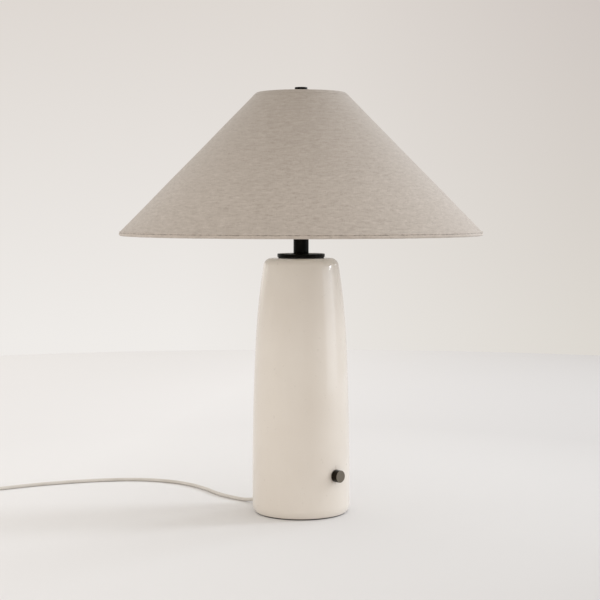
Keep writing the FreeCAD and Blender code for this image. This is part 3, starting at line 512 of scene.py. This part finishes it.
def carve(item, *cutters):
    """Cut shapes out of an object and remove the cutters."""
    for cutter in cutters:
        modifier = item.modifiers.new("cut", "BOOLEAN")
        modifier.operation = "DIFFERENCE"
        modifier.solver = "EXACT"
        modifier.object = cutter
    bpy.context.view_layer.update()
    apply_modifiers(item)
    for cutter in cutters:
        bpy.data.objects.remove(cutter)


def waver(angle, scale, seed):
    """Smooth noise round a ring, from -1 to 1."""
    return noise.noise(Vector((scale * math.cos(angle), scale * math.sin(angle), seed)))


# ---------------------------------------------------------------- base

BODY_RADIUS = 69 * MM
WALL = 8.0 * MM
WAIST = (64.3 * MM, 240 * MM)
SHOULDER = (52.95 * MM, 350 * MM)
CROWN_RADIUS = 41.3 * MM
FOOT_RADIUS = 65.8 * MM
FOOT_TOP = 13.5 * MM
STRAIGHT_TOP = 45 * MM
TOP_HOLE = 5.2 * MM
RECESS_RADIUS = 62.5 * MM
BOARD_TOP = 3.5 * MM

KNOB_HEIGHT = 59.5 * MM
KNOB_FRONT = 79 * MM
KNOB_SEAT = 68.4 * MM
SEAT_RADIUS = 9.2 * MM
SHAFT_WAY_RADIUS = 5 * MM
knob_frame = Matrix.Translation((0, 0, KNOB_HEIGHT)) @ Matrix.Rotation(math.pi / 2, 4, "X")
CORD_WAY_RADIUS = 4.6 * MM
INSIDE_WALL = 50 * MM
OUTSIDE_WALL = 80 * MM
EXIT_ANGLE = math.radians(98)
EXIT_HEIGHT = 8.4 * MM
BOOT_DROOP = math.radians(11)


def exit_frame(distance, droop=0.0):
    """The frame at a distance out along the cord's exit, its Z pointing the way the cord leaves."""
    place = Vector((distance * math.cos(EXIT_ANGLE), distance * math.sin(EXIT_ANGLE), EXIT_HEIGHT))
    turn = Matrix.Rotation(EXIT_ANGLE, 4, "Z") @ Matrix.Rotation(math.pi / 2 + droop, 4, "Y")
    return Matrix.Translation(place) @ turn


def ceramic(stuff):
    """The glazed body: a tapered hollow form with rounded shoulders, a knob seat and a cord hole."""
    low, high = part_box("ceramic_body")
    foot_rise = FOOT_TOP - low.z
    foot_inset = BODY_RADIUS - FOOT_RADIUS
    foot_bend = foot_inset / 2 + foot_rise ** 2 / (2 * foot_inset)
    foot_angle = math.degrees(math.asin(foot_rise / foot_bend))
    lip = 0.7 * MM
    outline = [(FOOT_RADIUS - 2 * lip, low.z), (FOOT_RADIUS - 0.4 * lip, low.z + 0.25 * lip)]
    outline += arc((BODY_RADIUS - foot_bend, FOOT_TOP), foot_bend, 2.5 - foot_angle, 0, 8)
    outline += line(outline[-1], (BODY_RADIUS, STRAIGHT_TOP), 14)
    heading = Vector((0, 1))
    for end, steps in ((WAIST, 50), (SHOULDER, 32), ((CROWN_RADIUS, high.z), 16)):
        points, heading = tangent_arc(outline[-1], heading, end, steps)
        outline += points
    outline += line(outline[-1], (TOP_HOLE, high.z), 6)
    outline += [(TOP_HOLE, high.z - WALL), (CROWN_RADIUS - WALL, high.z - WALL)]
    outline += [(SHOULDER[0] - WALL, SHOULDER[1] - WALL), (WAIST[0] - WALL, WAIST[1])]
    outline += [(BODY_RADIUS - WALL, STRAIGHT_TOP), (BODY_RADIUS - WALL, BOARD_TOP)]
    outline += [(RECESS_RADIUS, BOARD_TOP), (RECESS_RADIUS, low.z)]
    clay = stuff["glaze"]
    item = lathe("glazed_body", outline, clay, 240)
    seat = cutter("seat_cutter", SEAT_RADIUS, KNOB_SEAT, OUTSIDE_WALL, clay, 64, knob_frame)
    shaft_way = cutter("hole_cutter", SHAFT_WAY_RADIUS, INSIDE_WALL, OUTSIDE_WALL, clay, 48, knob_frame)
    cord_way = cutter("exit_cutter", CORD_WAY_RADIUS, INSIDE_WALL, OUTSIDE_WALL, clay, 48, exit_frame(0))
    carve(item, seat, shaft_way, cord_way)
    smooth(item.data, 40)
    stand_for(item, "base", "ceramic", "ceramic_body")


def felt_pad(stuff):
    """The felt pad with a soft uneven edge under the body."""
    low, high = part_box("felt_pad")
    radius = high.x
    step = 0.35 * MM
    flat_steps = 12
    outline = [(0, low.z)] + line((0, low.z), (radius - 2 * step, low.z), flat_steps)
    outline += [(radius - step * 0.6, low.z + 0.4 * step), (radius - 0.1 * step, low.z + 1.6 * step)]
    outline += [(radius - step * 0.2, high.z - step), (radius - step * 1.6, high.z), (0, high.z)]

    def fray(angle, index):
        edge = 1.0 if flat_steps < index < flat_steps + 5 else 0.0
        return (0.25 * MM * (waver(angle, 26, 2.0 + index) - 0.6) * edge, 0.0)

    stand_for(lathe("felt_base", outline, stuff["felt"], 256, shift=fray), "base", "felt", "felt_pad")


def cap_and_neck(stuff):
    """The black cap disc with its eased rim, the gasket under it and the neck tube."""
    low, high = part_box("cap_disc")
    radius = high.x
    ease = 0.8 * MM
    burr = 0.3 * MM
    pipe_hole = 5.0 * MM
    under_tube = 12 * MM
    outline = [(pipe_hole, low.z), (radius - burr, low.z), (radius, low.z + burr)]
    outline += arc((radius - ease, high.z - ease), ease, 0, 90, 6)
    outline += line(outline[-1], (under_tube, high.z), 5) + [(pipe_hole, high.z)]
    stand_for(lathe("cap_plate", outline, stuff["black"], 160), "base", "black_metal", "cap_disc")
    low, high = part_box("cap_gasket")
    radius = high.x
    outline = [(TOP_HOLE, low.z), (radius - burr, low.z), (radius, low.z + 0.35 * MM)]
    outline += [(radius, high.z - burr), (radius - 0.2 * MM, high.z), (TOP_HOLE, high.z)]
    stand_for(lathe("cap_seal", outline, stuff["gasket"], 160), "base", "gasket", "cap_gasket")
    low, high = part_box("neck_tube")
    radius = high.x
    bore = 8.9 * MM
    ease = 0.35 * MM
    outline = [(bore, low.z), (radius - ease, low.z)]
    outline += arc((radius - ease, low.z + ease), ease, -90, 0, 3)[1:]
    outline += line(outline[-1], (radius, high.z - ease), 4)
    outline += arc((radius - ease, high.z - ease), ease, 0, 90, 3)[1:] + [(bore, high.z)]
    stand_for(lathe("neck_sleeve", outline, stuff["black"], 96), "base", "black_metal", "neck_tube")


def knob(stuff):
    """The dimmer knob: a turned body with eased edges, a faint face dish and a hollow back."""
    radius = 8.5 * MM
    back = 68.7 * MM
    back_ease = 0.4 * MM
    ease = 0.7 * MM
    dish_floor = KNOB_FRONT - 0.12 * MM
    hollow_radius, hollow_floor = 7.3 * MM, 72.8 * MM
    shaft_radius, shaft_end = 3.01 * MM, 77 * MM
    outline = [(hollow_radius, back), (radius - back_ease, back), (radius, back + back_ease)]
    outline += line(outline[-1], (radius, KNOB_FRONT - ease), 4)
    outline += arc((radius - ease, KNOB_FRONT - ease), ease, 0, 90, 6)[1:]
    outline += line(outline[-1], (0.3 * MM, dish_floor), 8)
    outline += [(0, dish_floor), (0, shaft_end), (shaft_radius, shaft_end), (shaft_radius, hollow_floor)]
    outline += [(hollow_radius, hollow_floor)]
    item = lathe("dimmer_knob", outline, stuff["bronze"], 96, matrix=knob_frame)
    stand_for(item, "knob", "knob_metal", "knob")


# ---------------------------------------------------------------- cord

CORD_DIAMETER = 5.2 * MM
LEAD_ROUTE = [
    (-0.0122, 0.0867, 0.00515),
    (-0.0141, 0.0996, 0.0026),
    (-0.0170, 0.1220, 0.0026),
    (-0.0165, 0.1600, 0.0026),
    (-0.0005, 0.2140, 0.0026),
    (0.0010, 0.2760, 0.0026),
    (-0.0290, 0.3380, 0.0026),
    (-0.0880, 0.3790, 0.0026),
    (-0.1580, 0.4090, 0.0026),
    (-0.2240, 0.4235, 0.0026),
]
TAIL_ROUTE = [
    (-0.2880, 0.4349, 0.0070),
    (-0.3050, 0.4340, 0.0034),
    (-0.3210, 0.4303, 0.0036),
    (-0.3325, 0.4271, 0.0065),
]
COIL_MIDDLE = Vector((-0.2637, 0.4697))
COIL_START = math.radians(-101)
COIL_OUTER = 38.8 * MM
COIL_TURNS = 3
TURN_POINTS = 20
TIE_ANGLE = math.radians(79)
TIE_THICK = 0.6 * MM


def coil_route():
    """The coil: turns winding in on the table, then out again on top of them."""
    points = []
    steps = COIL_TURNS * TURN_POINTS
    bow = 1 / math.cos(math.pi / TURN_POINTS)
    for step in range(2 * steps + 1):
        turned = TURN * step / TURN_POINTS
        inward = min(step, 2 * steps - step) / TURN_POINTS
        radius = (COIL_OUTER - CORD_DIAMETER * inward) * bow
        climb = min(max((step - steps + 3) / 6, 0), 1)
        angle = COIL_START - turned
        near_tie = math.cos((angle - TIE_ANGLE) / 2) ** 40
        height = CORD_DIAMETER / 2 + CORD_DIAMETER * climb + TIE_THICK * near_tie * (1 - climb)
        to_side = COIL_MIDDLE.x + radius * math.cos(angle)
        to_back = COIL_MIDDLE.y + radius * math.sin(angle)
        points.append((to_side, to_back, height))
    return points


def mains_cord(stuff):
    """The whole cord from the strain relief to the plug, on one smooth curve."""
    route = LEAD_ROUTE + coil_route() + TAIL_ROUTE
    data = bpy.data.curves.new("mains_cord", "CURVE")
    data.dimensions = "3D"
    spline = data.splines.new("NURBS")
    spline.points.add(len(route) - 1)
    for point, place in zip(spline.points, route):
        point.co = (*place, 1)
    spline.order_u = 3
    spline.use_endpoint_u = True
    spline.resolution_u = 8
    data.bevel_depth = CORD_DIAMETER / 2
    data.bevel_resolution = 5
    data.use_fill_caps = True
    data.materials.append(stuff["vinyl"])
    item = bpy.data.objects.new("mains_cord", data)
    bpy.context.scene.collection.objects.link(item)
    stand_for(item, "base", "cord", "cord_lead", "cord_coil", "cord_tail")


def strain_relief(stuff):
    """The moulded relief: a flange on the wall and a drooping boot with rings cut round it."""
    neck_radius, neck_start, neck_end = 4.5 * MM, 59.5 * MM, 69 * MM
    flange_radius, flange_end = 6.6 * MM, 70.6 * MM
    outline = [(0, neck_start), (neck_radius, neck_start), (neck_radius, neck_end)]
    outline += [(flange_radius - 0.4 * MM, neck_end - 0.3 * MM), (flange_radius, neck_end + 0.2 * MM)]
    outline += [(flange_radius, flange_end - 0.4 * MM), (flange_radius - 0.5 * MM, flange_end)]
    outline.append((0, flange_end))
    collar = lathe("relief_collar", outline, stuff["vinyl"], 64, matrix=exit_frame(0))
    stand_for(collar, "base", "cord", "strain_relief")
    root = -1.5 * MM
    boot = [(0, root), (4.6 * MM, root)]
    rings = 5
    length = 17 * MM
    slope = 0.35 * MM
    groove = 0.5 * MM
    for ring in range(rings):
        start = length * (ring + 0.18) / rings
        end = length * (ring + 0.82) / rings
        for place, depth in ((start - slope, 0), (start, groove), (end - slope, groove), (end, 0)):
            radius = (4.2 - 1.1 * place / length) * MM
            boot.append((radius - depth, place))
    boot += [(3.1 * MM, length - 0.2 * MM), (2.9 * MM, length), (0, length)]
    item = lathe("relief_boot", boot, stuff["vinyl"], 48, matrix=exit_frame(70 * MM, BOOT_DROOP))
    stand_for(item, "base", "cord")
    return [collar, item]


# ---------------------------------------------------------------- shade

SHADE_LOW = (253.1 * MM, 396.8 * MM)
SHADE_HIGH = (66.95 * MM, 586.0 * MM)
COVER_THICK = 0.6 * MM
HEM_ROUND = 2.6 * MM
TOP_RING = (61.3 * MM, 587.9 * MM)
BOTTOM_RING = (251.6 * MM, 394.2 * MM)
SEAM_ANGLE = math.radians(46)
LAP_ANGLE = 0.035
LAP_THICK = 0.5 * MM


def shade_cover(stuff, hems):
    """The cone of linen, a closed thin skin with a lapped seam up the side away from view."""
    steps = 30
    out = Vector((SHADE_LOW[1] - SHADE_HIGH[1], SHADE_HIGH[0] - SHADE_LOW[0])).normalized() * -1
    inner_low = (SHADE_LOW[0] - out.x * COVER_THICK, SHADE_LOW[1] - out.y * COVER_THICK)
    inner_high = (SHADE_HIGH[0] - out.x * COVER_THICK, SHADE_HIGH[1] - out.y * COVER_THICK)
    outline = [SHADE_LOW] + line(SHADE_LOW, SHADE_HIGH, steps) + [inner_high]
    outline += line(inner_high, inner_low, steps)

    def drift(angle, index):
        if index > steps:
            return (0.0, 0.0)
        past_seam = (angle - SEAM_ANGLE + math.pi) % TURN - math.pi
        lap = LAP_THICK if -LAP_ANGLE < past_seam < 0.0 else 0.0
        slow = 0.25 * MM * waver(angle, 2.5, index * 0.12)
        return ((lap + slow) * out.x, (lap + slow) * out.y)

    item = lathe("shade_linen", outline, stuff["linen"], 720, shift=drift)
    stand_for(item, "shade", "shade_fabric", "shade_cover")


def shade_hems(stuff):
    """The linen folded over each ring: a round roll, and on the lower one a raw folded edge outside."""
    edge, edge_height = SHADE_HIGH
    middle, height = TOP_RING
    inside = middle - HEM_ROUND
    turn_in = edge_height - 3 * MM
    outline = [(edge + 0.1 * MM, edge_height - 2.2 * MM), (edge + 0.35 * MM, edge_height)]
    outline += arc((middle, height), HEM_ROUND, 42, 180, 16)
    outline += [(inside, turn_in), (inside + 0.5 * MM, turn_in)]
    outline += arc((middle, height), HEM_ROUND - COVER_THICK, 180, 42, 12)
    outline += [(edge - 0.6 * MM, edge_height - 0.6 * MM), (edge - 0.5 * MM, edge_height - 2.2 * MM)]

    def top_wave(angle, index):
        return (0.12 * MM * waver(angle, 9, index * 0.2), 0.15 * MM * waver(angle, 14, 5 + index * 0.2))

    top = lathe("top_hem_roll", outline, stuff["top_hem"], 240, shift=top_wave)
    stand_for(top, "shade", "shade_fabric", "hem_top")
    middle, height = BOTTOM_RING
    inside = middle - HEM_ROUND
    turn_in = SHADE_LOW[1] + 1.0 * MM
    fold, fold_height = SHADE_LOW[0] - 0.75 * MM, SHADE_LOW[1] + 0.75 * MM
    outline = [(fold, fold_height), (fold + 1.25 * MM, fold_height - 0.15 * MM)]
    outline += [(fold + 1.3 * MM, fold_height - 0.95 * MM), (fold + 0.9 * MM, fold_height - 1.6 * MM)]
    outline += arc((middle, height), HEM_ROUND, 22, -180, 22)
    outline += [(inside, turn_in), (inside + COVER_THICK, turn_in)]
    outline += arc((middle, height), HEM_ROUND - COVER_THICK, -180, 10, 18)

    def bottom_wave(angle, index):
        ragged = 0.35 * MM * waver(angle, 60, 3) if index < 3 else 0.0
        out = 0.2 * MM * waver(angle, 40, index * 0.15)
        return (out, ragged + 0.12 * MM * waver(angle, 25, 8 + index * 0.1))

    bottom = lathe("bottom_hem_roll", outline, stuff["low_hem"], 900, shift=bottom_wave)
    stand_for(bottom, "shade", "shade_fabric", "hem_bottom")
    return [top, bottom]


# ---------------------------------------------------------------- finial

def finial(stuff):
    """The black turned finial, hollow for its insert."""
    low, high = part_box("finial")
    radius = 8.9 * MM
    ease = 0.45 * MM
    low_ease = 0.4 * MM
    hole_radius, hole_top = 5 * MM, 592.4 * MM
    outline = [(hole_radius, low.z), (radius - low_ease, low.z), (radius, low.z + low_ease)]
    outline += line(outline[-1], (radius, high.z - ease), 4)
    outline += arc((radius - ease, high.z - ease), ease, 0, 90, 6)[1:]
    outline += line(outline[-1], (0.5 * MM, high.z), 5)
    outline += [(0, high.z), (0, hole_top), (hole_radius, hole_top)]
    stand_for(lathe("finial_turned", outline, stuff["black"], 96), "finial_cap", "black_metal", "finial")


# ---------------------------------------------------------------- bulb and socket

THREAD_PITCH = 25.4 / 7 * MM
THREAD_DEPTH = 0.55 * MM


def bulb_cap(stuff):
    """The bulb's metal cap with its rolled right-hand thread."""
    low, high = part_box("bulb_cap")
    radius = high.x
    tip_radius = 10.4 * MM
    thread_low = low.z + 1.6 * MM
    outline = [(0, low.z), (tip_radius, low.z), (radius, thread_low)]
    outline += line(outline[-1], (radius, high.z), 84)
    outline.append((0, high.z))

    def roll(angle, index):
        if not 1 < index < len(outline) - 1:
            return (0.0, 0.0)
        height = outline[index][1]
        above = (height - thread_low) / (1 * MM)
        below = (high.z - 1.2 * MM - height) / (2 * MM)
        fade = max(0.0, min(1.0, above, below))
        wave = 0.5 - 0.5 * math.cos(TURN * (height - low.z) / THREAD_PITCH - angle)
        return (-THREAD_DEPTH * wave * fade, 0.0)

    item = lathe("threaded_cap", outline, stuff["bulb_metal"], 120, shift=roll)
    stand_for(item, "bulb", "bulb_metal", "bulb_cap")


def socket_shell(stuff):
    """The socket's brass shell with a pressed bead low down and a necked, rolled mouth."""
    low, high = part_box("socket_shell")
    radius = high.x
    wall = 0.6 * MM
    press = 0.35 * MM
    bead = low.z + 5 * MM
    neck = high.z - 6 * MM
    roll = 0.9 * MM
    mouth_radius = 14.3 * MM
    outline = [(radius - wall, low.z), (radius, low.z)]
    for rise, depth in ((-0.8, 0), (-0.4, 0.25), (0, 0.35), (0.4, 0.25), (0.8, 0)):
        outline.append((radius - depth * MM, bead + rise * MM))
    outline += [(radius, neck), (radius - press, neck + 0.5 * MM), (radius - press, high.z - roll)]
    outline += arc((radius - press - roll, high.z - roll), roll, 0, 90, 5)[1:]
    outline += [(mouth_radius, high.z), (mouth_radius, high.z - wall), (radius - wall, high.z - wall)]
    item = lathe("rolled_socket_shell", outline, stuff["socket"], 128)
    stand_for(item, "base", "socket_metal", "socket_shell")


# ---------------------------------------------------------------- CAD pieces that keep their shape

CAD_FINISHES = {
    "board": ["bottom_board"],
    "steel": ["dimmer_bushing", "dimmer_nut", "dimmer_washer", "knob_shaft", "lock_washer", "lock_nut",
              "lamp_pipe", "harp_saddle"],
    "harp": ["harp_loop", "harp_yoke", "harp_sleeve_left", "harp_sleeve_right", "finial_stud"],
    "brass": ["finial_insert", "screw_shell", "centre_contact", "terminal_screws", "plug_blades"],
    "socket": ["socket_cap"],
    "paper": ["socket_liner"],
    "phenolic": ["socket_interior", "dimmer_housing", "bulb_insulator"],
    "vinyl": ["inner_lead", "socket_lead", "plug_body"],
    "tie": ["cord_tie"],
    "wire": ["socket_wires"],
    "styrene": ["shade_liner"],
    "enamel": ["top_ring", "bottom_ring", "spider_hub", "spider_arms"],
    "diffuser": ["bulb_dome"],
    "bulb_body": ["bulb_housing"],
    "bulb_metal": ["bulb_contact"],
}


def dress_cad(stuff):
    """Put the finished materials on the CAD nodes that stay."""
    for finish, names in CAD_FINISHES.items():
        for name in names:
            for slot in frame["nodes"][name].material_slots:
                slot.material = stuff[finish]


# ---------------------------------------------------------------- stage and light

FLOOR_RADIUS = 2.3
FLOOR_LEFT = (0.752, 0.739, 0.733)
FLOOR_RIGHT_PAINTED_SHADE = (0.552, 0.537, 0.528)
FLOOR_NEAR_PAINTED_LIGHT = (0.850, 0.840, 0.832)
FLOOR_CLOUD = (0.5, 0.49, 0.47)
WALL_LOW_LEFT = (0.862, 0.836, 0.808)
WALL_LOW_RIGHT = (0.725, 0.690, 0.640)
WALL_HIGH_LEFT = (0.735, 0.690, 0.650)
WALL_HIGH_RIGHT = (0.630, 0.580, 0.545)
SKY = (1.0, 0.97, 0.93)
WARM = (1.0, 0.985, 0.955)
DAYLIGHT = (0.84, 0.91, 1.0)
LIGHTS_AIM = Vector((0, 0, 0.25))


def floor():
    """A round pale floor, with painted shade darkening it to the right and a painted pool of light close to
    the lamp.
    """
    item, tree, shader = new_material("floor", Roughness=0.9, Specular_IOR_Level=0.2)
    place = object_point(tree)
    slant = to_right - into_view * 0.22
    across = node(tree, "VectorMath", {0: place, 1: slant}, operation="DOT_PRODUCT").outputs["Value"]
    # Painted shade: the floor is darker to the right.
    paper = blend_colours(tree, spread(tree, across, -0.45, 0.45), FLOOR_LEFT, FLOOR_RIGHT_PAINTED_SHADE)
    away = node(tree, "VectorMath", {0: place}, operation="LENGTH").outputs["Value"]
    # Painted light: a pale pool on the floor close to the lamp.
    paper = blend_colours(tree, spread(tree, away, 0.10, 0.80, 0.46, 0.0), paper, FLOOR_NEAR_PAINTED_LIGHT)
    cloud = mottle(tree, place, 1.5, 2)
    colour = blend_colours(tree, spread(tree, cloud, 0.3, 0.7, 0.0, 0.03), paper, FLOOR_CLOUD)
    tree.links.new(colour, shader.inputs["Base Color"])
    mesh = bpy.data.meshes.new("floor")
    build = bmesh.new()
    bmesh.ops.create_circle(build, cap_ends=True, radius=FLOOR_RADIUS, segments=128)
    build.to_mesh(mesh)
    build.free()
    add_object("floor", mesh, item)


def world():
    """A pale studio: brighter on the left, a little darker up the right of the backdrop, soft from above."""
    item = bpy.data.worlds.new("world")
    item.use_nodes = True
    tree = item.node_tree
    way = node(tree, "TexCoord").outputs["Generated"]
    up = node(tree, "SeparateXYZ", {0: way}).outputs["Z"]
    side = node(tree, "VectorMath", {0: way, 1: to_right}, operation="DOT_PRODUCT").outputs["Value"]
    low = blend_colours(tree, spread(tree, side, -0.08, 0.20), WALL_LOW_LEFT, WALL_LOW_RIGHT)
    high = blend_colours(tree, spread(tree, side, 0.02, 0.20), WALL_HIGH_LEFT, WALL_HIGH_RIGHT)
    wall = blend_colours(tree, spread(tree, up, -0.09, 0.14), low, high)
    colour = blend_colours(tree, spread(tree, up, 0.22, 0.60), wall, SKY)
    tree.links.new(colour, tree.nodes["Background"].inputs["Color"])
    bpy.context.scene.world = item


def panel(name, bearing, distance, height, width, tall, watts, colour, mirrored=True):
    """A soft light that faces the lamp, its bearing in degrees to the right of the camera's side.

    A light that isn't mirrored leaves no reflection.
    """
    data = bpy.data.lights.new(name, "AREA")
    data.shape = "RECTANGLE"
    data.size = width
    data.size_y = tall
    data.energy = watts
    data.color = colour
    item = bpy.data.objects.new(name, data)
    angle = math.radians(bearing)
    away = into_view * -math.cos(angle) + to_right * math.sin(angle)
    item.location = away * distance + UP * height
    item.visible_glossy = mirrored
    item.rotation_euler = (LIGHTS_AIM - item.location).to_track_quat("-Z", "Y").to_euler()
    bpy.context.scene.collection.objects.link(item)


def lights():
    """A two-pane window high on the right, a little behind, and weak low fills all round."""
    panel("window", bearing=102, distance=2.6, height=1.30, width=0.7, tall=1.1, watts=31, colour=DAYLIGHT)
    panel("window_side", bearing=133, distance=2.6, height=1.30, width=0.5, tall=1.1, watts=10,
          colour=DAYLIGHT)
    panel("near_right", bearing=82, distance=1.5, height=0.45, width=0.9, tall=0.8, watts=2.8,
          colour=DAYLIGHT)
    panel("near_left", bearing=-85, distance=1.5, height=0.35, width=1.2, tall=0.7, watts=2.5, colour=WARM,
          mirrored=False)
    panel("front", bearing=-10, distance=1.6, height=0.30, width=1.4, tall=0.5, watts=3.0, colour=WARM,
          mirrored=False)
    panel("behind_left", bearing=-140, distance=2.4, height=0.90, width=2.0, tall=1.2, watts=2.8,
          colour=WARM)


# ---------------------------------------------------------------- build

bpy.context.scene.view_settings.view_transform = "Standard"
place_camera()
stuff = make_materials()
relief = strain_relief(stuff)
mains_cord(stuff)
ceramic(stuff)
felt_pad(stuff)
cap_and_neck(stuff)
knob(stuff)
shade_cover(stuff, shade_hems(stuff))
finial(stuff)
bulb_cap(stuff)
socket_shell(stuff)
dress_cad(stuff)
floor()
world()
lights()
